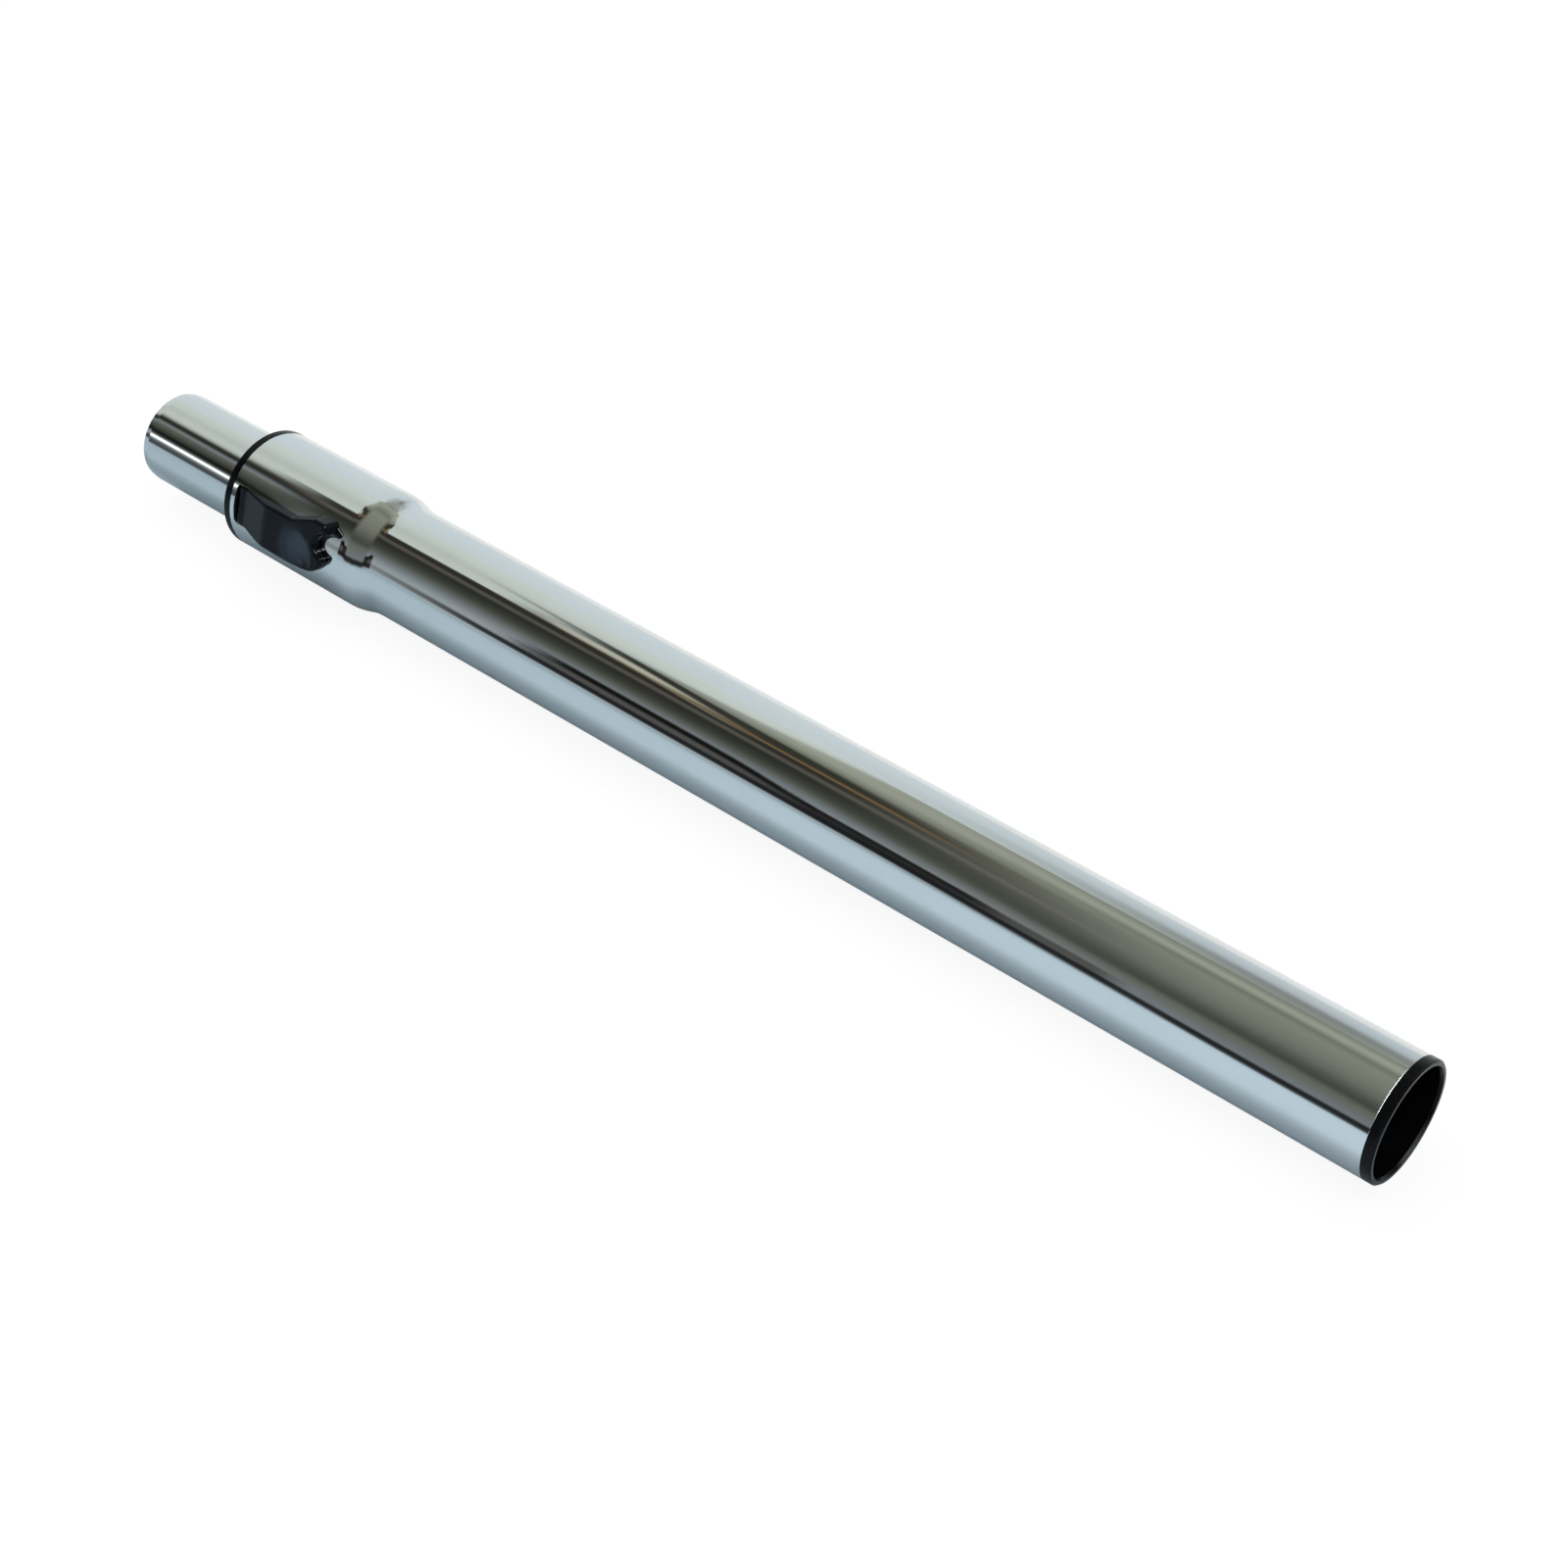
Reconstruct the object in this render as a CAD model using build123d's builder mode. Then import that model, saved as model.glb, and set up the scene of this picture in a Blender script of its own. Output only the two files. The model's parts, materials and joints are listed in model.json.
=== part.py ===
from build123d import *
import math
import os

# A telescopic vacuum wand, closed, lying level. All lengths are in millimetres.
# +X runs along the wand, out of the hose socket's mouth, and +Z is up. The origin is on the wand's
# axis where the socket's bore begins, behind its lead-in.

# Outer tube: a plain tube whose far end is expanded to a sleeve, a step wider than the tube
outer_length = 468.2
sleeve_radius = 22.2
sleeve_step = 2.2
sleeve_length = 56.5
outer_wall = 0.75
shoulder_length = 12.0
shoulder_run = 7.5
shoulder_bend = 22.0
tube_edge = 0.3

# Inner tube, with its free end drawn down to a spigot. The gap is the one between the two tubes
tube_gap = 1.75
inner_wall = 0.7
inner_reach = 50.5
spigot_draw = 0.25
spigot_length = 45.0
spigot_step = 1.0
tip_length = 2.5
tip_draw = 0.35

# Hose socket bush, for a hose end as wide as the inner tube
socket_fit = 0.35
socket_depth = 36.0
socket_stop = 2.0
socket_stop_height = 0.95
lead_in = 1.0
lead_in_width = 0.45
flange_length = 3.3
flange_bevel = 0.6

# Running and seating clearances
slide_fit = 0.08
seat_fit = 0.05
air_gap = 0.3

# Detents: a row pressed into a flat along the inner tube
detent_pitch = 29.0
detent_depth = 1.6
detent_width = 11.0
flat_depth = 0.8
flat_lead = 6.0
flat_runout = 6.0

# Lock roller
roller_lead = 27.2
roller_radius = 2.2
roller_length = 9.0
roller_chamfer = 0.3

# Button travel, and how far the roller then rises
button_travel = 6.0
roller_lift = 1.75

# The button's lean, in degrees from straight up towards -Y
button_lean = 72.0

# Guide sleeve and its collar
collar_length = 3.0
collar_edge = 0.5
tail_fit = 0.17
tail_gap = 2.0
key_lead = 3.0
lead_chamfer = 0.8

# Window in the sleeve
window_rim = 2.3
window_width = 14.8
window_corner = 1.5

# Thumb cap, from its collar end: a flush panel, a ramp that widens on its lower side, and the pad, which
# ends in a broad lobe below the notch and a narrow horn above it. Reaches are counted from the button's
# middle line, and heights from the sleeve's surface
cap_gap = 0.5
cap_length = 49.0
panel_width = 14.5
panel_flat = 4.0
panel_sink = 1.2
ramp_length = 14.0
ramp_rise = 2.8
ramp_foot_bend = 6.0
ramp_top_bend = 10.0
waist_place = 14.0
waist_bend = 30.0
lower_reach = 9.0
upper_reach = 7.8
neck_place = 31.0
neck_bend = 8.0
horn_place = 42.5
horn_reach = 12.2
horn_bend = 3.0
horn_radius = 2.1
lobe_reach = 7.5
lobe_radius = 9.0
tip_radius = 1.5
pad_rise = 3.4
notch_radius = 4.2
notch_offset = 0.8
notch_side = 3.8
dish_place = 36.4
dish_side = -2.3
dish_half_length = 7.2
dish_half_width = 6.5
dish_depth = 1.6
rim_radius = 1.3

# Slide carrier: a curved saddle under the sleeve, recessed for the cap, with a boss for it to clip over
saddle_wall = 2.35
saddle_recess = 1.45
saddle_angle = 27.8
saddle_side_gap = 0.7
saddle_edge = 1.1
boss_width = 11.8
boss_wall = 1.0
boss_roof = 0.7
boss_corner = 0.6
ramp_width = 9.5
wedge_fit = 0.1

# Return springs, either side of the roller
spring_radius = 1.3
wire_radius = 0.2
spring_turns = 5
spring_angle = 24.0
spring_groove_angle = 4.0
spring_side_gap = 0.25
spring_seat_length = 6.7

# End guide and its lip seal
guide_bush_length = 12.0
guide_lip = 1.5
guide_end_gap = 1.5
seal_place = 6.0
seal_width = 3.0
seal_groove_wall = 0.45
seal_lip = 0.5

# Places along the wand that follow from the lengths
mouth_x = lead_in
tube_end_x = mouth_x - flange_length
sleeve_end_x = tube_end_x - outer_length
shoulder_x = sleeve_end_x + sleeve_length
guide_end_x = shoulder_x + shoulder_length
collar_x = sleeve_end_x - collar_length
tip_x = collar_x - inner_reach
spigot_x = tip_x + tip_length
spigot_end_x = spigot_x + spigot_length
socket_end_x = -socket_depth - socket_stop
hidden_end_x = socket_end_x - guide_end_gap - guide_lip
bush_x = hidden_end_x - guide_bush_length
window_x = sleeve_end_x + window_rim
flat_x = window_x + flat_lead
key_x = flat_x + key_lead
roller_x = window_x + roller_lead
wedge_low_x = roller_x + roller_radius + 2 * wedge_fit
wedge_high_x = roller_x - button_travel - roller_radius - 2 * wedge_fit
boss_x = wedge_high_x - boss_wall
boss_end_x = wedge_low_x + boss_wall
cap_x = window_x + cap_gap
saddle_end_x = boss_end_x + saddle_edge
window_end_x = saddle_end_x + button_travel + air_gap
window_length = window_end_x - window_x
channel_x = cap_x - air_gap
spring_end_x = window_end_x + spring_seat_length

# Detents within the travel that the end guide leaves
full_travel = bush_x - guide_end_x
detent_count = int(full_travel / detent_pitch) + 1

# Radii, from the sleeve inwards
sleeve_bore = sleeve_radius - outer_wall
guide_radius = sleeve_bore - seat_fit
outer_radius = sleeve_radius - sleeve_step
outer_bore = outer_radius - outer_wall
bush_radius = outer_bore - slide_fit
tail_radius = outer_bore - tail_fit
inner_radius = outer_bore - tube_gap
inner_bore = inner_radius - inner_wall
guide_bore = inner_radius + slide_fit
seal_groove_radius = inner_radius + seat_fit + seal_groove_wall
spigot_radius = inner_radius - spigot_draw
socket_radius = inner_radius + socket_fit
socket_stop_radius = socket_radius - socket_stop_height

# Heights under the window and over it, counted from the axis
flat_height = inner_radius - flat_depth
key_height = flat_height + slide_fit
detent_radius = roller_radius + seat_fit
roller_height = flat_height - detent_depth + detent_radius
saddle_top = sleeve_bore - 2 * seat_fit
saddle_radius = saddle_top - saddle_wall
saddle_seat = saddle_top - saddle_recess
channel_floor = saddle_radius - 2 * seat_fit
channel_angle = saddle_angle + saddle_side_gap
spring_place = sleeve_bore - spring_side_gap - spring_radius
spring_floor = spring_place - spring_radius - 2 * seat_fit
panel_height = sleeve_radius - panel_sink
ramp_height = sleeve_radius + ramp_rise
pad_height = sleeve_radius + pad_rise
dish_floor = ramp_height - dish_depth
wedge_angle = math.degrees(math.atan(roller_lift / button_travel))

# The button's own directions: outwards through the cap, and across it
lean = math.radians(button_lean)
outwards = Vector(0, -math.sin(lean), math.cos(lean))
across = Vector(0, math.cos(lean), math.sin(lean))
side_plane = Plane(origin=(0, 0, 0), x_dir=(1, 0, 0), z_dir=-across)
top_plane = Plane(origin=(0, 0, 0), x_dir=(1, 0, 0), z_dir=outwards)
beyond = 5.0


def section_plane(x):
    return Plane(origin=(x, 0, 0), x_dir=across, z_dir=(1, 0, 0))


def outline(plane, points, radii=0):
    """A closed outline of straight lines, with its corners rounded."""
    with BuildSketch(plane) as sketch:
        with BuildLine():
            FilletPolyline(*points, radius=radii, close=True)
        make_face()
    return sketch.sketch


def keyed_disc(x, radius, key):
    """A disc with one side cut flat at the key's height, as the keyed bores have."""
    with BuildSketch(section_plane(x)) as sketch:
        Circle(radius)
        with Locations((0, key + radius)):
            Rectangle(2 * radius, 2 * radius, mode=Mode.SUBTRACT)
    return sketch.sketch


def arc_band(x, inside, outside, start, end):
    """A band of a ring between two angles, counted from the button's outward line."""
    with BuildSketch(section_plane(x)) as sketch:
        with BuildLine():
            low = CenterArc((0, 0), inside, 90 - end, end - start)
            high = CenterArc((0, 0), outside, 90 - end, end - start)
            Line(low @ 0, high @ 0)
            Line(low @ 1, high @ 1)
        make_face()
    return sketch.sketch


def outer_outline(skin):
    """Half the outer tube's section down to the axis, one skin's depth inside its outer surface."""
    tube = outer_radius - skin
    sleeve = sleeve_radius - skin
    middle = shoulder_x + shoulder_length / 2
    edge = 0 if skin else tube_edge
    corners = [
        (tube_end_x, 0),
        (tube_end_x, tube),
        (middle + shoulder_run / 2, tube),
        (middle - shoulder_run / 2, sleeve),
        (sleeve_end_x, sleeve),
        (sleeve_end_x, 0),
    ]
    radii = [0, edge, shoulder_bend + skin, shoulder_bend - skin, edge, 0]
    return outline(Plane.XZ, corners, radii)


def wedge_line(x):
    """Height of the carrier's ramp over the roller, which rises towards the collar."""
    rise = math.tan(math.radians(wedge_angle))
    clear = (roller_radius + wedge_fit) / math.cos(math.radians(wedge_angle))
    return roller_height + clear - (x - roller_x) * rise


boss_height = wedge_line(wedge_high_x) + boss_roof


def save(piece, name):
    piece.part.label = name
    export_step(piece.part, f"parts/{name}.step")


os.makedirs("parts", exist_ok=True)

# Outer tube: the shoulder is one S bend, and the button's window is cut through the sleeve
with BuildPart() as outer_tube:
    revolve(outer_outline(0), axis=Axis.X)
    revolve(outer_outline(outer_wall), axis=Axis.X, mode=Mode.SUBTRACT)
    with BuildSketch(top_plane):
        with Locations((window_x + window_length / 2, 0)):
            RectangleRounded(window_length, window_width, window_corner)
    extrude(amount=sleeve_radius + beyond, mode=Mode.SUBTRACT)
save(outer_tube, "outer_tube")

# Socket bush: the flange is as wide as the tube, and a step at the bore's end stops the hose's spigot
with BuildPart() as socket_bush:
    revolve(
        outline(
            Plane.XZ,
            [
                (0, socket_radius),
                (mouth_x, socket_radius + lead_in_width),
                (mouth_x, outer_radius - flange_bevel),
                (mouth_x - flange_bevel, outer_radius),
                (tube_end_x, outer_radius),
                (tube_end_x, outer_bore - seat_fit),
                (socket_end_x, outer_bore - seat_fit),
                (socket_end_x, socket_stop_radius),
                (-socket_depth, socket_stop_radius),
                (-socket_depth, socket_radius),
            ],
        ),
        axis=Axis.X,
    )
save(socket_bush, "socket_bush")


def flat_outline(skin):
    """What the pressed flat takes off the inner tube, or off its cavity when it lies one wall deeper."""
    top = inner_radius + beyond
    return outline(
        side_plane,
        [
            (flat_x - flat_runout, top),
            (flat_x - flat_runout, inner_radius - skin),
            (flat_x, flat_height - skin),
            (hidden_end_x + beyond, flat_height - skin),
            (hidden_end_x + beyond, top),
        ],
    )


def detent_row(skin):
    """The round-bottomed detents along the flat, which the roller fits."""
    with BuildSketch(side_plane) as sketch:
        for number in range(detent_count):
            with Locations((roller_x + number * detent_pitch, roller_height)):
                Circle(detent_radius + skin)
    return sketch.sketch


# Inner tube: its cavity first, which keeps one wall's distance from the pressed flat and detents
with BuildPart() as inner_cavity:
    revolve(
        outline(
            Plane.XZ,
            [
                (tip_x, 0),
                (tip_x, spigot_radius - tip_draw - inner_wall),
                (spigot_x, spigot_radius - inner_wall),
                (spigot_end_x, spigot_radius - inner_wall),
                (spigot_end_x + spigot_step, inner_bore),
                (hidden_end_x, inner_bore),
                (hidden_end_x, 0),
            ],
        ),
        axis=Axis.X,
    )
    extrude(flat_outline(inner_wall), amount=inner_radius, both=True, mode=Mode.SUBTRACT)
    extrude(
        detent_row(inner_wall),
        amount=detent_width / 2 + inner_wall,
        both=True,
        mode=Mode.SUBTRACT,
    )

with BuildPart() as inner_tube:
    revolve(
        outline(
            Plane.XZ,
            [
                (tip_x, 0),
                (tip_x, spigot_radius - tip_draw),
                (spigot_x, spigot_radius),
                (spigot_end_x, spigot_radius),
                (spigot_end_x + spigot_step, inner_radius),
                (hidden_end_x, inner_radius),
                (hidden_end_x, 0),
            ],
        ),
        axis=Axis.X,
    )
    extrude(flat_outline(0), amount=inner_radius, both=True, mode=Mode.SUBTRACT)
    extrude(detent_row(0), amount=detent_width / 2, both=True, mode=Mode.SUBTRACT)
    add(inner_cavity.part, mode=Mode.SUBTRACT)
save(inner_tube, "inner_tube")

# End guide: a keyed bush over the inner tube's hidden end, with a groove for the seal
with BuildPart() as end_guide:
    revolve(
        outline(
            Plane.XZ,
            [
                (bush_x, 0),
                (bush_x, bush_radius - lead_chamfer),
                (bush_x + lead_chamfer, bush_radius),
                (bush_x + seal_place, bush_radius),
                (bush_x + seal_place, seal_groove_radius),
                (bush_x + seal_place + seal_width, seal_groove_radius),
                (bush_x + seal_place + seal_width, bush_radius),
                (hidden_end_x + guide_lip, bush_radius),
                (hidden_end_x + guide_lip, 0),
            ],
        ),
        axis=Axis.X,
    )
    keyed_tube = keyed_disc(hidden_end_x, inner_radius + seat_fit, flat_height + seat_fit)
    extrude(keyed_tube, amount=-(hidden_end_x - bush_x), mode=Mode.SUBTRACT)
    extrude(
        keyed_disc(hidden_end_x, inner_bore, flat_height - inner_wall),
        amount=guide_lip,
        mode=Mode.SUBTRACT,
    )
save(end_guide, "end_guide")

# End seal: a ring with a thin lip that leans towards the collar
with BuildPart() as end_seal:
    seal_x = bush_x + seal_place
    revolve(
        outline(
            Plane.XZ,
            [
                (seal_x, seal_groove_radius + seat_fit),
                (seal_x + seal_width, seal_groove_radius + seat_fit),
                (seal_x + seal_width, bush_radius - seal_lip),
                (seal_x + seal_lip, outer_bore - seat_fit),
                (seal_x, outer_bore - seat_fit),
                (seal_x + seal_lip, bush_radius - 2 * seal_lip),
                (seal_x, bush_radius - 2 * seal_lip),
            ],
        ),
        axis=Axis.X,
    )
save(end_seal, "end_seal")

# Guide sleeve: collar, body in the expanded end, tail through the shoulder, keyed bore
with BuildPart() as guide_sleeve:
    tail_x = shoulder_x - tail_gap
    revolve(
        outline(
            Plane.XZ,
            [
                (collar_x, 0),
                (collar_x, sleeve_radius),
                (sleeve_end_x, sleeve_radius),
                (sleeve_end_x, guide_radius),
                (tail_x, guide_radius),
                (shoulder_x + shoulder_length / 2, tail_radius),
                (guide_end_x, tail_radius),
                (guide_end_x, 0),
            ],
            [0, collar_edge, 0, 0, 0, 0, 0, 0],
        ),
        axis=Axis.X,
    )
    key_bore = keyed_disc(key_x, guide_bore, key_height)
    extrude(key_bore, amount=guide_end_x - key_x, mode=Mode.SUBTRACT)
    plain_bore = keyed_disc(collar_x, guide_bore, guide_bore)
    extrude(plain_bore, amount=key_x - collar_x, mode=Mode.SUBTRACT)
    revolve(
        outline(
            Plane.XZ,
            [
                (collar_x, guide_bore),
                (collar_x, guide_bore + lead_chamfer),
                (collar_x + lead_chamfer, guide_bore),
            ],
        ),
        axis=Axis.X,
        mode=Mode.SUBTRACT,
    )
    channel = arc_band(channel_x, channel_floor, sleeve_radius, -channel_angle, channel_angle)
    extrude(channel, amount=window_end_x - channel_x, mode=Mode.SUBTRACT)
    for side in (1, -1):
        edges = sorted((side * (spring_angle - spring_groove_angle), side * channel_angle))
        spring_groove = arc_band(channel_x, spring_floor, sleeve_radius, *edges)
        extrude(spring_groove, amount=spring_end_x - channel_x, mode=Mode.SUBTRACT)
    with BuildSketch(top_plane):
        with Locations((roller_x, 0)):
            Rectangle(2 * detent_radius, roller_length + 4 * seat_fit)
    extrude(amount=sleeve_radius, mode=Mode.SUBTRACT)
save(guide_sleeve, "guide_sleeve")

# Lock roller: it lies across the tube in its detent
with BuildPart() as lock_roller:
    with BuildSketch(side_plane.offset(-roller_length / 2)):
        with Locations((roller_x, roller_height)):
            Circle(roller_radius)
    extrude(amount=roller_length)
    chamfer(lock_roller.edges().filter_by(GeomType.CIRCLE), roller_chamfer)
save(lock_roller, "lock_roller")

# Slide carrier: the saddle runs under the sleeve, and the wedge over the roller is cut up into the boss
with BuildPart() as slide_carrier:
    saddle = arc_band(cap_x, saddle_radius, saddle_top, -saddle_angle, saddle_angle)
    extrude(saddle, amount=saddle_end_x - cap_x)
    with BuildSketch(top_plane.offset(saddle_seat)):
        with Locations(((cap_x + saddle_end_x) / 2, 0)):
            Rectangle(saddle_end_x - cap_x, window_width)
    extrude(amount=sleeve_radius - saddle_seat, mode=Mode.SUBTRACT)
    boss = outline(
        side_plane,
        [
            (boss_x, (saddle_radius + saddle_seat) / 2),
            (boss_x, boss_height),
            (boss_end_x, boss_height),
            (boss_end_x, (saddle_radius + saddle_seat) / 2),
        ],
        [0, boss_corner, boss_corner, 0],
    )
    extrude(boss, amount=boss_width / 2, both=True)
    wedge = outline(
        side_plane,
        [
            (wedge_high_x, saddle_radius - beyond),
            (wedge_high_x, wedge_line(wedge_high_x)),
            (wedge_low_x, wedge_line(wedge_low_x)),
            (wedge_low_x, saddle_radius - beyond),
        ],
    )
    extrude(wedge, amount=ramp_width / 2, both=True, mode=Mode.SUBTRACT)
save(slide_carrier, "slide_carrier")

# What the thumb cap stands clear of: all within the sleeve, apart from the window down to the saddle
with BuildPart() as cap_clearance:
    with BuildSketch(section_plane(cap_x - beyond)):
        Circle(sleeve_radius + air_gap)
    extrude(amount=cap_length + 2 * beyond)
    with BuildSketch(top_plane.offset(saddle_seat + seat_fit)):
        with Locations(((cap_x + saddle_end_x) / 2, 0)):
            RectangleRounded(saddle_end_x - cap_x, panel_width, window_corner)
    extrude(amount=beyond, mode=Mode.SUBTRACT)


def cap_plan():
    """Plan of the cap: panel, and the pad with its horn, notch and lobe."""
    end_x = cap_x + cap_length
    corners = [
        (cap_x, panel_width / 2, window_corner),
        (cap_x + neck_place, upper_reach, neck_bend),
        (cap_x + horn_place, horn_reach, horn_bend),
        (end_x, horn_reach, horn_radius),
        (end_x, -lobe_reach, lobe_radius),
        (cap_x + neck_place, -lower_reach, neck_bend),
        (cap_x + waist_place, -lower_reach, waist_bend),
        (cap_x, -panel_width / 2, window_corner),
    ]
    with BuildSketch(top_plane) as sketch:
        with BuildLine():
            points = [(x, y) for x, y, bend in corners]
            FilletPolyline(*points, radius=[bend for x, y, bend in corners], close=True)
        make_face()
        notch_x = end_x - notch_offset
        with Locations((notch_x, notch_side)):
            Circle(notch_radius, mode=Mode.SUBTRACT)
        at_notch = sketch.vertices().filter_by(
            lambda v: abs(math.hypot(v.X - notch_x, v.Y - notch_side) - notch_radius) < 0.01
        )
        fillet(at_notch, tip_radius)
    return sketch.sketch


def arc_radius(half_width, depth):
    """Radius of the arc that sinks to the depth between its two ends."""
    return (half_width**2 + depth**2) / (2 * depth)


def dish_section():
    """Section of the thumb hollow along the cap: a round floor, open at the top."""
    bend = arc_radius(dish_half_length, dish_depth)
    with BuildSketch(side_plane) as sketch:
        with Locations((cap_x + dish_place, dish_floor + bend)):
            Circle(bend)
        with Locations((cap_x + dish_place, pad_height + beyond + bend)):
            Rectangle(2 * bend, 2 * bend, mode=Mode.SUBTRACT)
    return sketch.sketch.moved(Location(across * dish_side))


# Thumb cap: its plan and its side profile cross to give the body, and the hollow is scooped last
with BuildPart() as thumb_cap:
    extrude(cap_plan(), amount=ramp_height + beyond)
    profile = outline(
        side_plane,
        [
            (cap_x - beyond, 0),
            (cap_x - beyond, panel_height),
            (cap_x + panel_flat, panel_height),
            (cap_x + panel_flat + ramp_length, ramp_height),
            (cap_x + cap_length + beyond, pad_height),
            (cap_x + cap_length + beyond, 0),
        ],
        [0, 0, ramp_foot_bend, ramp_top_bend, 0, 0],
    )
    extrude(profile, amount=2 * horn_reach, both=True, mode=Mode.INTERSECT)
    top_faces = thumb_cap.faces().filter_by(lambda f: f.normal_at().dot(outwards) > 0.7)
    rim = [
        edge
        for face in top_faces
        for edge in face.edges()
        if sum(edge.is_same(other) for f in top_faces for other in f.edges()) == 1
    ]
    fillet(rim, rim_radius)
    dish_sweep = arc_radius(dish_half_width, dish_depth)
    dish_axis = Axis(outwards * (dish_floor + dish_sweep) + across * dish_side, (1, 0, 0))
    revolve(
        dish_section().rotate(dish_axis, -90),
        axis=dish_axis,
        revolution_arc=180,
        mode=Mode.SUBTRACT,
    )
    add(cap_clearance.part, mode=Mode.SUBTRACT)
    with BuildSketch(top_plane):
        with Locations(((boss_x + boss_end_x) / 2, 0)):
            Rectangle(boss_end_x - boss_x + 2 * seat_fit, boss_width + 2 * seat_fit)
    extrude(amount=boss_height + seat_fit, mode=Mode.SUBTRACT)
save(thumb_cap, "thumb_cap")


def coil(side):
    """One return spring, from the carrier's end face to the end of its groove."""
    angle = math.radians(side * spring_angle)
    centre = outwards * (spring_place * math.cos(angle)) + across * (spring_place * math.sin(angle))
    start = Vector(saddle_end_x + wire_radius, 0, 0) + centre
    height = spring_end_x - saddle_end_x - 2 * wire_radius
    with BuildPart() as spring:
        with BuildLine() as path:
            Helix(height / spring_turns, height, spring_radius - wire_radius, start, (1, 0, 0))
        with BuildSketch(Plane(origin=path.line @ 0, z_dir=path.line % 0)):
            Circle(wire_radius)
        sweep(path=path.line, is_frenet=True)
    return spring


# Return springs
save(coil(1), "return_spring_left")
save(coil(-1), "return_spring_right")
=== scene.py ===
import json
import math

import bpy
from mathutils import Matrix, Vector

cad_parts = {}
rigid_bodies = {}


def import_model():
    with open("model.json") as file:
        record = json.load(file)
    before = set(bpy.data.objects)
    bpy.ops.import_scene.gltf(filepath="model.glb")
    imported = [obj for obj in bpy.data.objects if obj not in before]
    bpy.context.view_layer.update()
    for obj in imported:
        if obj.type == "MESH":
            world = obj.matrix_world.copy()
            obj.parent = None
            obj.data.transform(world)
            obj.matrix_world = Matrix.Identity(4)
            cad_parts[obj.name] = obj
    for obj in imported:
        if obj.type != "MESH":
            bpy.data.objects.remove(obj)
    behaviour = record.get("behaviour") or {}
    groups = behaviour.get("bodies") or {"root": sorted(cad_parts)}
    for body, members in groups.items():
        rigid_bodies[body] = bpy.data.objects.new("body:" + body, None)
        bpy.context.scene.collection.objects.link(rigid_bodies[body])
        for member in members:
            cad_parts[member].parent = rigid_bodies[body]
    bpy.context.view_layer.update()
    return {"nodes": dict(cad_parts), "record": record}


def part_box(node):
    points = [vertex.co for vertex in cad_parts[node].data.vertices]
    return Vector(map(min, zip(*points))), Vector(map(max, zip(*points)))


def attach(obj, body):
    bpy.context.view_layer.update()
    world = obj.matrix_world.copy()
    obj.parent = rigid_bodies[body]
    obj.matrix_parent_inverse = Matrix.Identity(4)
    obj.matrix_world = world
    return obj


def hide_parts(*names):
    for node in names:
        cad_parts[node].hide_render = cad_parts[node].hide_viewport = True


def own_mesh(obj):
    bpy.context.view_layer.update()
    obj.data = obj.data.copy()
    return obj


# Camera, as it stood for the photograph
lens_mm = 64.17
camera_place = Vector((0.2113, -0.5137, 0.5830))
camera_right = Vector((0.7595, 0.6505, 0.0))
camera_up = Vector((-0.4264, 0.4979, 0.7552))
nearest_seen = 0.02

# Light on dull surfaces: an even sky, and a soft lamp overhead
white = (1.0, 1.0, 1.0)
sky_level = 0.72
lamp_power = 9.0
lamp_size = 1.6
lamp_place = Vector((-0.3, 0.1, 1.5))
lamp_target = Vector((-0.26, 0.0, 0.0))

# Floor: its tint in reflections, which changes along x and again behind the wand, with a painted shadow that
# darkens it under the wand
floor_size = 12.0
floor_tint = (0.74, 0.90, 1.00)
floor_far_tint = (0.50, 0.64, 0.73)
floor_far_x, floor_near_x = -0.75, 0.05
floor_back_tint = (0.97, 1.00, 1.00)
floor_front_y, floor_back_y = -0.018, 0.05
painted_shadow_y = -0.024
painted_shadow_reach = 0.028
painted_shadow_level = 0.66

# Floor, as the camera sees it: a glow makes it white, and what it scatters keeps the shadow
floor_shade = 0.12
floor_glow = 0.90

# Chrome plate, and the dull steel inside the tubes
chrome_colour = (0.66, 0.67, 0.67)
smudged_colour = (0.61, 0.62, 0.61)
chrome_roughness, smudged_roughness = 0.02, 0.065
steel_colour = (0.42, 0.41, 0.39)
speckled_colour = (0.33, 0.32, 0.30)
steel_roughness = 0.3
wave_height, speck_height = 0.0002, 0.0000012

# Moulded plastic
plastic_specular = 0.11
scuff_share, scuff_roughness = 0.6, 0.12
flow_height, grain_height = 0.00003, 0.000004

# The pad of the thumb cap: a paler, bluer patch painted on its dish, a painted reflection of the room's light
dish_reflection_place = (-0.4335, -0.0235, 0.0055)
dish_reflection_core, dish_reflection_reach, dish_reflection_waver = 0.003, 0.0115, 0.003
dish_reflection_colour = (0.036, 0.050, 0.070)

# Tints of the room that polished surfaces see
cool = (0.89, 1.0, 1.05)
pale = (0.93, 1.02, 0.96)
green = (0.97, 1.03, 0.85)
brown = (1.0, 0.93, 0.76)

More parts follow.
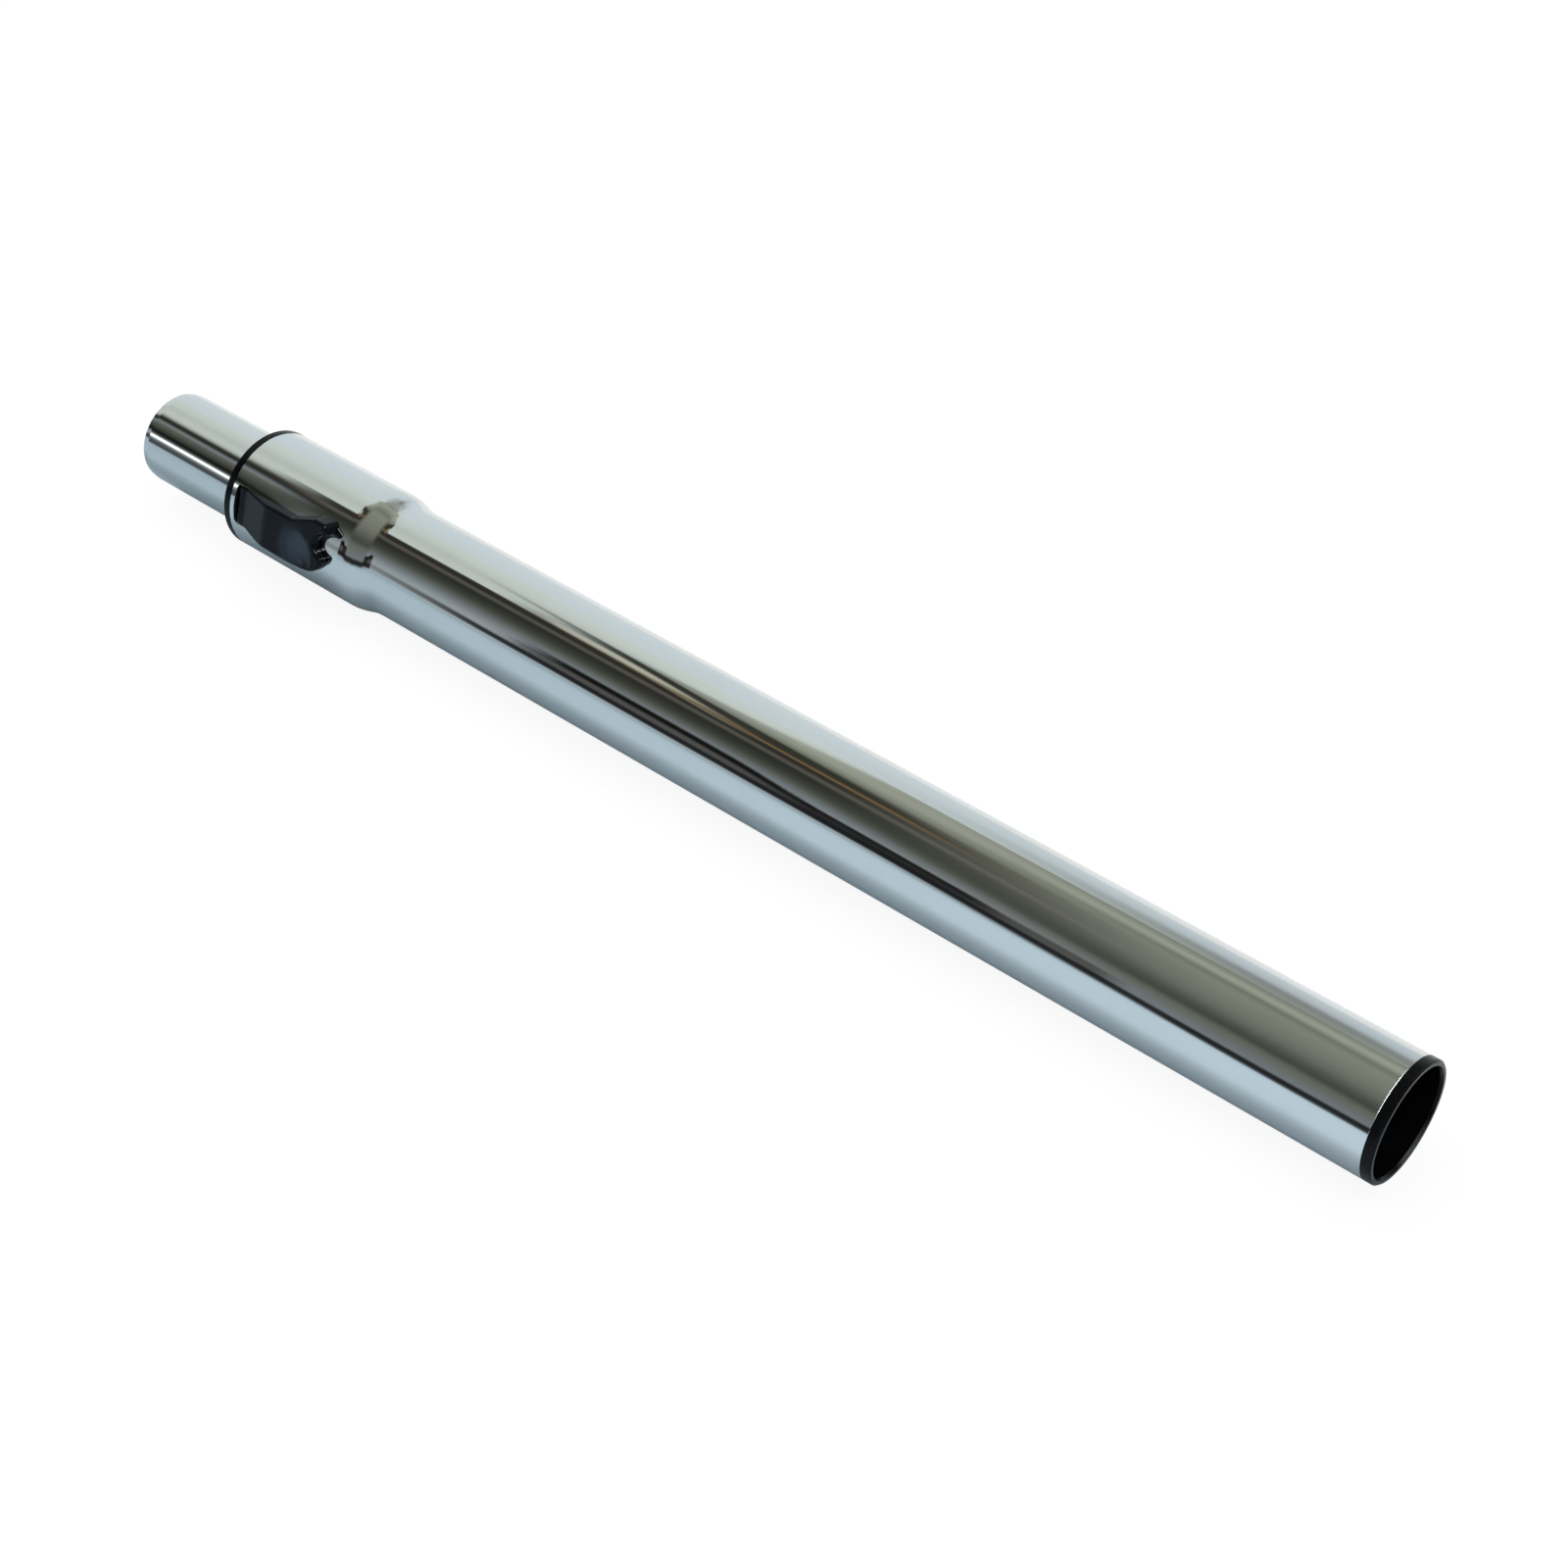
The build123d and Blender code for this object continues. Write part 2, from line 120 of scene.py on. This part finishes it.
# The room's levels, as (turn, level, tint): the turn about the wand is in degrees, from straight up towards
# the camera's side
end_levels = (
    (9, 0.72, pale), (12, 0.58, pale), (16, 0.22, green), (19, 0.04, green), (25, 0.035, green),
    (31, 0.30, cool), (37, 0.15, green), (48, 0.07, green), (56, 0.01, green), (61, 0.03, green),
    (72, 0.6, cool), (82, 0.13, cool),
)
far_levels = (
    (-22, 0.45, green), (-12, 0.30, green), (-5, 0.06, brown), (14, 0.035, brown), (19, 0.14, brown),
    (25, 0.035, green), (30, 0.04, green), (40, 0.07, green), (48, 0.13, green), (58, 0.26, cool),
    (72, 0.46, cool), (80, 0.42, cool), (87, 0.60, cool),
)
near_levels = (
    (-110, 0.95, cool), (-84, 0.78, cool), (-69, 0.68, cool), (-57, 0.32, pale), (-46, 0.46, pale),
    (-36, 0.24, green), (-28, 0.48, green), (-18, 0.24, green), (-8, 0.32, green), (14, 0.26, green),
    (28, 0.20, green), (40, 0.115, green), (48, 0.085, green), (57, 0.18, green), (76, 0.26, cool),
)
panel_levels = ((-150, 0.95, cool), (-60, 0.90, cool), (-30, 0.85, pale), (-12, 0.70, pale), (2, 0.78, pale))

# Where the far part goes over into the near part and into the end, by x, how far one looks along the wand
near_begins, near_full = -0.50, -0.32
end_begins, end_full = -0.645, -0.665

# The overhead panel, in the plane one unit above the wand: its near edge in x, how that slants and how soft
# it is, its side edge in y, the x where it fades into the room, and how far below level it may show
panel_edge, panel_slant, panel_softness = -0.68, 0.12, 0.06
panel_side, panel_side_full = -0.14, -0.08
panel_fades, panel_gone = -0.50, -0.30
panel_lowest = -0.05

# Streaks beside the panel and over the table's edge
rim_colour = (0.045, 0.05, 0.035)
light_colour = (0.60, 0.62, 0.51)
warm_colour = (0.22, 0.145, 0.065)
shade_colour = (0.11, 0.11, 0.105)
dark_colour = (0.010, 0.011, 0.010)
low_colour = (0.03, 0.03, 0.03)
edge_colour = (0.015, 0.016, 0.018)

# The window, and the softbox: its middle and reach in x and in turn
window_level = 1.8
softbox_level = 30.0
softbox_x, softbox_x_reach = 0.40, 0.16
softbox_turn, softbox_turn_reach = 12.0, 66.0


class Shader:
    """A node tree with short calls for the nodes that the materials here need."""

    def __init__(self, tree):
        self.tree = tree
        self.tree.nodes.clear()

    def node(self, kind, inputs=None, **settings):
        node = self.tree.nodes.new("ShaderNode" + kind)
        for name, value in settings.items():
            setattr(node, name, value)
        for name, value in (inputs or {}).items():
            self.put(node.inputs[name], value)
        return node

    def put(self, socket, value):
        if isinstance(value, bpy.types.NodeSocket):
            self.tree.links.new(value, socket)
        elif hasattr(socket.default_value, "__len__") and len(socket.default_value) == 4:
            socket.default_value = (*value, 1.0)
        else:
            socket.default_value = value

    def math(self, operation, first, second=0.0, third=0.0):
        values = {0: first, 1: second, 2: third}
        return self.node("Math", values, operation=operation).outputs[0]

    def vector_math(self, operation, first, second):
        """Both results of a vector operation: the vector and the value."""
        return self.node("VectorMath", {0: first, 1: second}, operation=operation).outputs

    def smooth(self, value, low, high, to_low=0.0, to_high=1.0):
        """The value eased from to_low at low to to_high at high."""
        inputs = {"Value": value, "From Min": low, "From Max": high, "To Min": to_low, "To Max": to_high}
        return self.node("MapRange", inputs, interpolation_type="SMOOTHSTEP").outputs[0]

    def away(self, value, middle):
        """How far the value is from the middle, either way."""
        return self.math("ABSOLUTE", self.math("SUBTRACT", value, middle))

    def mix(self, factor, first, second):
        inputs = {"Factor": factor, 6: first, 7: second}
        return self.node("Mix", inputs, data_type="RGBA").outputs[2]

    def ramp(self, value, stops):
        """A colour ramp through (place, colour) stops, in rising order."""
        node = self.node("ValToRGB", {"Fac": value})
        elements = node.color_ramp.elements
        while len(elements) < len(stops):
            elements.new(0.5)
        for element, (place, _) in zip(elements, stops):
            element.position = place
        for element, (_, colour) in zip(elements, stops):
            element.color = (*colour, 1.0)
        return node.outputs[0]

    def point(self):
        """The point on the object, in its own frame."""
        return self.node("TexCoord").outputs["Object"]

    def place(self, scale=(1, 1, 1)):
        """The point on the object, scaled along each axis."""
        return self.node("Mapping", {"Vector": self.point(), "Scale": scale}).outputs[0]

    def noise(self, vector, scale, detail=2.0, roughness=0.5):
        inputs = {"Vector": vector, "Scale": scale, "Detail": detail, "Roughness": roughness}
        return self.node("TexNoise", inputs).outputs[0]

    def bump(self, height, distance, normal=None):
        inputs = {"Height": height, "Distance": distance, "Strength": 1.0}
        if normal is not None:
            inputs["Normal"] = normal
        return self.node("Bump", inputs).outputs[0]

    def surface(self, **inputs):
        """The surface shader, from its sockets' values; underscores stand for spaces."""
        shader = self.node("BsdfPrincipled")
        for name, value in inputs.items():
            self.put(shader.inputs[name.replace("_", " ")], value)
        self.finish("Material", shader)

    def finish(self, kind, shader):
        """The tree's output, of the kind Material or World."""
        self.tree.links.new(shader.outputs[0], self.node("Output" + kind).inputs[0])


def new_material(name):
    material = bpy.data.materials.new(name)
    material.use_nodes = True
    return material, Shader(material.node_tree)


# Materials. A noise's scale is in cycles per metre, a bump's height in metres.

def chrome_plate():
    """Bright plate on drawn tube: faint long waves, polishing lines, smudges; dull steel inside."""
    material, shader = new_material("chrome_plate")
    waves = shader.noise(shader.place((9, 70, 70)), 1.0, detail=1.0)
    lines = shader.noise(shader.place((2500, 40, 40)), 1.0, detail=2.0)
    smudges = shader.noise(shader.place(), 55.0, detail=5.0, roughness=0.6)
    specks = shader.noise(shader.place(), 900.0, detail=2.0)
    polish = shader.smooth(smudges, 0.45, 0.75, chrome_roughness, smudged_roughness)
    polish = shader.math("MULTIPLY_ADD", lines, 0.02, polish)

    # A wall's inner side faces the wand's axis
    outward = shader.vector_math("MULTIPLY", shader.point(), (0, 1, 1))["Vector"]
    normal = shader.node("NewGeometry").outputs["Normal"]
    facing = shader.vector_math("DOT_PRODUCT", outward, normal)["Value"]
    inside = shader.smooth(facing, -0.004, -0.002, 1.0, 0.0)

    plate = shader.mix(shader.smooth(smudges, 0.5, 0.8, 0.0, 0.35), chrome_colour, smudged_colour)
    steel = shader.mix(shader.smooth(specks, 0.3, 0.7), steel_colour, speckled_colour)
    relief = shader.bump(waves, wave_height)
    relief = shader.bump(specks, speck_height, relief)
    shader.surface(
        Base_Color=shader.mix(inside, plate, steel),
        Metallic=1.0,
        Roughness=shader.math("MULTIPLY_ADD", inside, steel_roughness, polish),
        Normal=relief,
    )
    return material


def moulded_plastic(name, colour, worn, smoothest, roughest, dish_reflection_at=None):
    """Moulded plastic with a fine grain, flow marks in the gloss and light scuffs.

    Its colour goes to worn in the scuffs, and around the point given for the cap's dish it is painted paler,
    as a painted reflection.
    """
    material, shader = new_material(name)
    fine = shader.noise(shader.place(), 4200.0, detail=3.0)
    flow = shader.noise(shader.place((60, 130, 130)), 1.0, detail=3.0)
    scuffs = shader.noise(shader.place((220, 900, 900)), 1.0, detail=5.0, roughness=0.7)
    wear = shader.smooth(scuffs, 0.58, 0.78, 0.0, scuff_share)
    gloss = shader.smooth(flow, 0.3, 0.7, smoothest, roughest)
    relief = shader.bump(flow, flow_height)
    relief = shader.bump(fine, grain_height, relief)
    # The paler patch about the cap's dish is a painted reflection of the room's light
    if dish_reflection_at:
        distance = shader.vector_math("DISTANCE", shader.point(), dish_reflection_at)["Value"]
        distance = shader.math("MULTIPLY_ADD", flow, dish_reflection_waver, distance)
        painted_reflection = shader.smooth(distance, dish_reflection_core, dish_reflection_reach, 1.0, 0.0)
        colour = shader.mix(painted_reflection, colour, dish_reflection_colour)
    shader.surface(
        Base_Color=shader.mix(wear, colour, worn),
        Roughness=shader.math("ADD", gloss, shader.math("MULTIPLY", wear, scuff_roughness)),
        Normal=relief,
        Specular_IOR_Level=plastic_specular,
    )
    return material


def seal_rubber():
    """Soft black rubber, dull, with a dusty bloom."""
    material, shader = new_material("seal_rubber")
    fine = shader.noise(shader.place(), 3000.0, detail=4.0)
    bloom = shader.noise(shader.place(), 240.0, detail=4.0, roughness=0.65)
    dust = shader.smooth(bloom, 0.45, 0.75, 0.0, 0.7)
    shader.surface(
        Base_Color=shader.mix(dust, (0.02, 0.02, 0.02), (0.05, 0.05, 0.048)),
        Roughness=shader.smooth(bloom, 0.3, 0.7, 0.6, 0.8),
        Normal=shader.bump(fine, 0.00001),
    )
    return material


def turned_steel(name, colour, line_scale, smoothest, roughest):
    """Bare steel with the fine lines that its grinding or drawing leaves."""
    material, shader = new_material(name)
    lines = shader.noise(shader.place(line_scale), 1.0, detail=3.0)
    patches = shader.noise(shader.place(), 500.0, detail=4.0)
    dark = tuple(part * 0.75 for part in colour)
    shader.surface(
        Base_Color=shader.mix(shader.smooth(patches, 0.35, 0.75), colour, dark),
        Metallic=1.0,
        Roughness=shader.smooth(lines, 0.3, 0.7, smoothest, roughest),
        Normal=shader.bump(lines, 0.000002),
    )
    return material


def dress(materials):
    """Each CAD node gets the material that stands for its slot in the record."""
    for row in frame["record"]["subparts"]:
        node = frame["nodes"][row["node"]]
        for slot in node.material_slots:
            slot.material = materials[row["material_slot"]]


def shorten_springs():
    """The record's springs again, as copies of their meshes hung on their joint's parent body, with the CAD
    nodes hidden.
    """
    for joint in frame["record"]["behaviour"]["joints"]:
        for row in joint.get("deforming_nodes", []):
            node, fixed_end = frame["nodes"][row["node"]], row["fixed_end_x_m"]
            spring = bpy.data.objects.new(row["node"] + "_coil", node.data.copy())
            bpy.context.collection.objects.link(spring)
            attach(spring, joint["parent"])
            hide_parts(row["node"])
            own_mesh(spring)


# Surroundings

def floor_material():
    """White to the camera, with the shadow; pale blue in what reflects it and gets light from it, with a
    painted shadow under the wand.
    """
    material, shader = new_material("floor")
    x, y, _ = shader.node("SeparateXYZ", {0: shader.point()}).outputs
    tint = shader.mix(shader.smooth(x, floor_far_x, floor_near_x), floor_far_tint, floor_tint)
    tint = shader.mix(shader.smooth(y, floor_front_y, floor_back_y), tint, floor_back_tint)
    # Painted shadow: the tint darkens in a band under the wand
    painted_shadow = shader.smooth(shader.away(y, painted_shadow_y), 0.0, painted_shadow_reach, painted_shadow_level, 1.0)
    tint = shader.node("VectorMath", {0: tint, "Scale": painted_shadow}, operation="SCALE").outputs[0]
    plain = shader.node("BsdfDiffuse", {"Color": tint}).outputs[0]
    shaded = shader.node("BsdfDiffuse", {"Color": (floor_shade,) * 3}).outputs[0]
    glow = shader.node("Emission", {"Color": white, "Strength": floor_glow}).outputs[0]
    seen = shader.node("AddShader", {0: shaded, 1: glow}).outputs[0]
    camera_ray = shader.node("LightPath").outputs["Is Camera Ray"]
    shader.finish("Material", shader.node("MixShader", {0: camera_ray, 1: plain, 2: seen}))
    return material


def lay_floor():
    """A floor that touches the sleeve and the flange, as the wand comes to rest on them."""
    sleeve_low, flange_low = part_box("outer_tube")[0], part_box("socket_bush")[0]
    slope = (flange_low[2] - sleeve_low[2]) / (0 - sleeve_low[0])
    half = floor_size / 2
    corners = [(x, y, sleeve_low[2] + slope * (x - sleeve_low[0]))
               for x, y in ((-half, -half), (half, -half), (half, half), (-half, half))]
    mesh = bpy.data.meshes.new("floor")
    mesh.from_pydata(corners, [], [(0, 1, 2, 3)])
    floor = bpy.data.objects.new("floor", mesh)
    bpy.context.collection.objects.link(floor)
    mesh.materials.append(floor_material())


def room(shader, direction):
    """What polished surfaces see of the room: by turn about the wand, and by x, how far they look along it.

    Overhead hangs a light panel. Beside the camera the room is dim, and its far end is darker and busier
    than its near end. A window stands low at the far end, and the table ends in a dark edge.
    """
    x, y, z = shader.node("SeparateXYZ", {0: direction}).outputs
    turn = shader.math("ARCTAN2", shader.math("MULTIPLY", y, -1.0), z)
    turn = shader.math("MULTIPLY", turn, 180 / math.pi)

    def levels(stops):
        places = [(0.5 + degrees / 360, tuple(level * part for part in tint))
                  for degrees, level, tint in stops]
        return shader.ramp(shader.math("MULTIPLY_ADD", turn, 1 / 360, 0.5), places)

    def near(value, middle, reach, core=None):
        """1 within core of the middle, then easing to 0 at reach; core is 0.3 of reach if it isn't given."""
        core = reach * 0.3 if core is None else core
        return shader.smooth(shader.away(value, middle), core, reach, 1.0, 0.0)

    def streak(wall, colour, middle, reach, fades, core=None):
        """The wall with a soft streak about a middle turn, which may bend along x, times its fades."""
        factor = near(turn, middle, reach, core)
        for fade in fades:
            factor = shader.math("MULTIPLY", factor, fade)
        return shader.mix(factor, wall, colour)

    plain = levels(near_levels)
    wall = shader.mix(shader.smooth(x, near_begins, near_full), levels(far_levels), plain)
    wall = shader.mix(shader.smooth(x, end_begins, end_full), wall, levels(end_levels))

    # The overhead panel
    up = shader.math("MAXIMUM", z, 0.001)
    along, over = shader.math("DIVIDE", x, up), shader.math("DIVIDE", y, up)
    inside = shader.math("MULTIPLY_ADD", over, panel_slant, panel_edge)
    inside = shader.smooth(shader.math("SUBTRACT", inside, along), 0.0, panel_softness)
    panel = shader.math("MULTIPLY", inside, shader.smooth(over, panel_side, panel_side_full))
    panel = shader.math("MULTIPLY", panel, shader.math("GREATER_THAN", z, panel_lowest))
    sheen = shader.mix(shader.smooth(x, panel_fades, panel_gone), levels(panel_levels), plain)
    wall = shader.mix(panel, wall, sheen)

    # Beside the panel: a dark line that slants along its edge, a light one past it, and a long warm one
    slant = shader.math("MULTIPLY_ADD", x, 100.0, 46.0)
    wall = streak(wall, rim_colour, middle=slant, reach=5.0, fades=[near(x, -0.51, 0.10)])
    bend = shader.smooth(x, -0.56, -0.51, to_low=1.0, to_high=6.5)
    wall = streak(wall, light_colour, middle=bend, reach=7.0,
                  fades=[shader.smooth(x, -0.50, -0.55), shader.smooth(x, -0.585, -0.57)])
    wall = streak(wall, warm_colour, middle=6.5, reach=3.0, fades=[near(x, -0.49, 0.09)])

    # Over the table's edge: a shade, a dark streak that bends down to it, one low down, and the edge itself
    wall = streak(wall, shade_colour, middle=75.0, reach=11.0, core=6.0,
                  fades=[near(x, -0.475, 0.115, core=0.10)])
    bend = shader.smooth(x, -0.51, -0.475, to_low=64.8, to_high=70.8)
    wall = streak(wall, dark_colour, middle=bend, reach=7.0, fades=[near(x, -0.495, 0.09, core=0.07)])
    wall = streak(wall, low_colour, middle=77.0, reach=10.0, fades=[near(x, -0.455, 0.06)])
    bend = shader.smooth(x, -0.46, -0.37, to_low=82.5, to_high=84.0)
    wall = streak(wall, edge_colour, middle=bend, reach=7.2,
                  fades=[shader.smooth(x, -0.635, -0.59, to_low=0.3, to_high=0.95)])

    # The window, low at the far end
    wall = streak(wall, (window_level,) * 3, middle=70.5, reach=5.0,
                  fades=[shader.smooth(x, -0.655, -0.672), shader.smooth(x, -0.84, -0.82)])

    # A softbox that arches over the wand towards the hose end, and fades to its edges
    softbox = shader.math("MULTIPLY_ADD", shader.away(x, softbox_x), -1 / softbox_x_reach, 1.0)
    softbox = shader.math("MAXIMUM", softbox, 0.0)
    softbox = shader.math("MULTIPLY", softbox, near(turn, softbox_turn, softbox_turn_reach))
    softbox = shader.math("POWER", softbox, 2.0)
    return shader.mix(softbox, wall, tuple(softbox_level * part for part in cool))


def light_world():
    """White to the camera, an even sky to dull surfaces, the room to polished ones."""
    world = bpy.data.worlds.new("studio")
    bpy.context.scene.world = world
    world.use_nodes = True
    shader = Shader(world.node_tree)
    path = shader.node("LightPath").outputs
    direction = shader.node("TexCoord").outputs["Generated"]
    polished = shader.math("MAXIMUM", path["Is Glossy Ray"], path["Is Transmission Ray"])
    colour = shader.mix(polished, (sky_level,) * 3, room(shader, direction))
    colour = shader.mix(path["Is Camera Ray"], colour, white)
    shader.finish("World", shader.node("Background", {"Color": colour, "Strength": 1.0}))


def hang_lamp():
    """A large soft lamp overhead, left out of reflections, where the room's panel stands for it."""
    light = bpy.data.lights.new("lamp", "AREA")
    light.shape = "SQUARE"
    light.size = lamp_size
    light.energy = lamp_power
    lamp = bpy.data.objects.new("lamp", light)
    lamp.location = lamp_place
    lamp.rotation_euler = (lamp_place - lamp_target).to_track_quat("Z", "Y").to_euler()
    lamp.visible_glossy = False
    bpy.context.collection.objects.link(lamp)


def set_camera():
    camera = bpy.data.objects.new("camera", bpy.data.cameras.new("camera"))
    back = camera_right.cross(camera_up)
    turn = Matrix((camera_right, camera_up, back)).transposed().to_4x4()
    camera.matrix_world = Matrix.Translation(camera_place) @ turn
    camera.data.lens = lens_mm
    camera.data.clip_start = nearest_seen
    bpy.context.collection.objects.link(camera)
    bpy.context.scene.camera = camera


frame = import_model()

set_camera()
dress({
    "chrome_tube": chrome_plate(),
    "black_plastic": moulded_plastic(
        "black_plastic", colour=(0.0022, 0.0022, 0.0028), worn=(0.008, 0.008, 0.009),
        smoothest=0.20, roughest=0.30),
    # The button's cap carries a painted reflection in its dish
    "button_plastic": moulded_plastic(
        "button_plastic", colour=(0.0030, 0.0036, 0.0065), worn=(0.008, 0.010, 0.016),
        smoothest=0.13, roughest=0.20, dish_reflection_at=dish_reflection_place),
    "slide_plastic": moulded_plastic(
        "slide_plastic", colour=(0.70, 0.68, 0.62), worn=(0.5, 0.48, 0.43), smoothest=0.4, roughest=0.5),
    "seal_rubber": seal_rubber(),
    "spring_steel": turned_steel(
        "spring_steel", colour=(0.5, 0.5, 0.5), line_scale=(3000, 3000, 3000), smoothest=0.22, roughest=0.34),
    "roller_steel": turned_steel(
        "roller_steel", colour=(0.6, 0.6, 0.6), line_scale=(9000, 300, 300), smoothest=0.14, roughest=0.24),
})
shorten_springs()
lay_floor()
light_world()
hang_lamp()
bpy.context.scene.view_settings.view_transform = "Standard"
